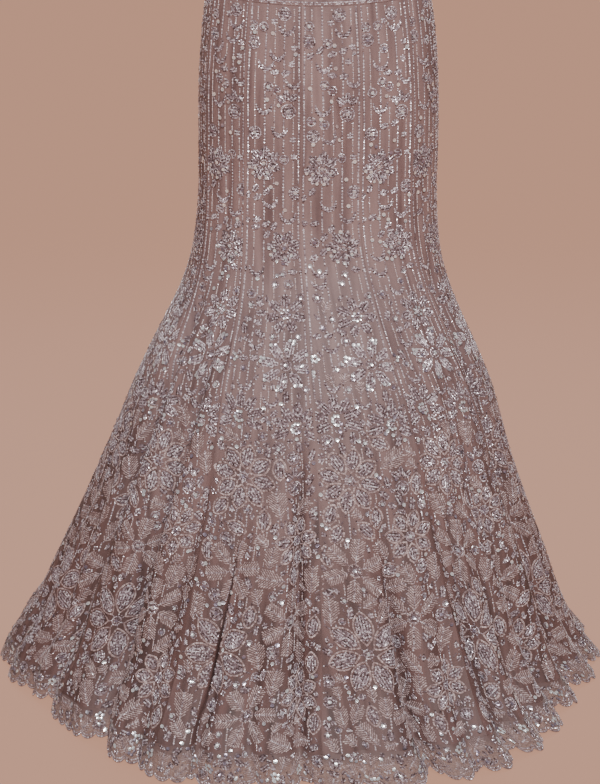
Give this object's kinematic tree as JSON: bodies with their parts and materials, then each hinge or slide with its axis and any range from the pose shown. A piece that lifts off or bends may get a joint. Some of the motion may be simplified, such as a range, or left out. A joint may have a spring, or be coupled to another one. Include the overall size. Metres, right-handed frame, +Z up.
{
  "type": "mermaid lehenga skirt",
  "caption": "Floor-length mermaid lehenga skirt of long flared panels, close to mid thigh, then a full round hem in flutes with a scalloped border.",
  "frame": {"origin": "centre of the waist opening at the waistband's mid-height, where the wearer holds the skirt up", "axes": "+Z up, -Y the front of the skirt, +X to the right of someone who looks at the front; metres"},
  "size_m": [0.899, 0.9537, 1.0489],
  "materials": {
    "waistband_cloth": "beaded net over a mauve-brown lining",
    "beaded_net": "mauve-brown lining under net, worked with pale bugle beads, seed beads and sequins",
    "border_net": "see-through net densely worked with pale beads, cut in scallops"
  },
  "bodies": {
    "root": {"waistband_front": "waistband_cloth", "waistband_back": "waistband_cloth", "kali_01": "beaded_net", "kali_02": "beaded_net", "kali_03": "beaded_net", "kali_04": "beaded_net", "kali_05": "beaded_net", "kali_06": "beaded_net", "kali_07": "beaded_net", "kali_08": "beaded_net", "kali_09": "beaded_net", "kali_10": "beaded_net", "kali_11": "beaded_net", "kali_12": "beaded_net", "hem_border_01": "border_net", "hem_border_02": "border_net", "hem_border_03": "border_net", "hem_border_04": "border_net", "hem_border_05": "border_net", "hem_border_06": "border_net", "hem_border_07": "border_net", "hem_border_08": "border_net", "hem_border_09": "border_net", "hem_border_10": "border_net", "hem_border_11": "border_net", "hem_border_12": "border_net"}
  },
  "joints": []
}
